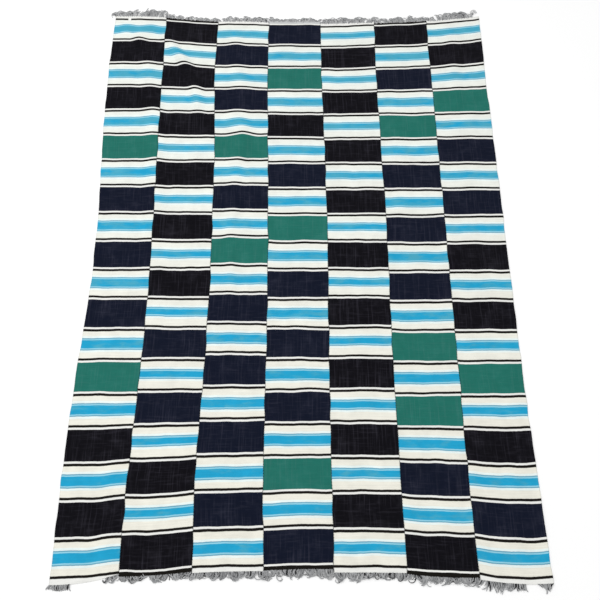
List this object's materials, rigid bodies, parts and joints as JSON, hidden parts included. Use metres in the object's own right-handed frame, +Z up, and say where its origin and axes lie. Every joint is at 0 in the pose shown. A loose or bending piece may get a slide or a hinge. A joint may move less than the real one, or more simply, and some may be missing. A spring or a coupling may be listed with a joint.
{
  "type": "strip-woven cotton blanket",
  "caption": "Large cotton blanket of narrow loom-woven bands sewn edge to edge, with checkered plain and striped blocks and frayed ends, lying flat.",
  "frame": {"origin": "under the middle of the blanket's outline, fringe included, on the surface it lies on", "axes": "+Z up from the floor, +Y along the bands to the far end, +X across the bands"},
  "size_m": [1.1648, 1.743, 0.0139],
  "materials": {
    "banded_cotton": "matt hand-woven cotton, striped across the band",
    "frayed_warp": "loose grey cotton yarn"
  },
  "bodies": {
    "root": {"strip_1": "banded_cotton", "strip_2": "banded_cotton", "strip_3": "banded_cotton", "strip_4": "banded_cotton", "strip_5": "banded_cotton", "strip_6": "banded_cotton", "strip_7": "banded_cotton", "fringe_far_1": "frayed_warp", "fringe_far_2": "frayed_warp", "fringe_far_3": "frayed_warp", "fringe_far_4": "frayed_warp", "fringe_far_5": "frayed_warp", "fringe_far_6": "frayed_warp", "fringe_far_7": "frayed_warp", "fringe_near_1": "frayed_warp", "fringe_near_2": "frayed_warp", "fringe_near_3": "frayed_warp", "fringe_near_4": "frayed_warp", "fringe_near_5": "frayed_warp", "fringe_near_6": "frayed_warp", "fringe_near_7": "frayed_warp"}
  },
  "joints": []
}
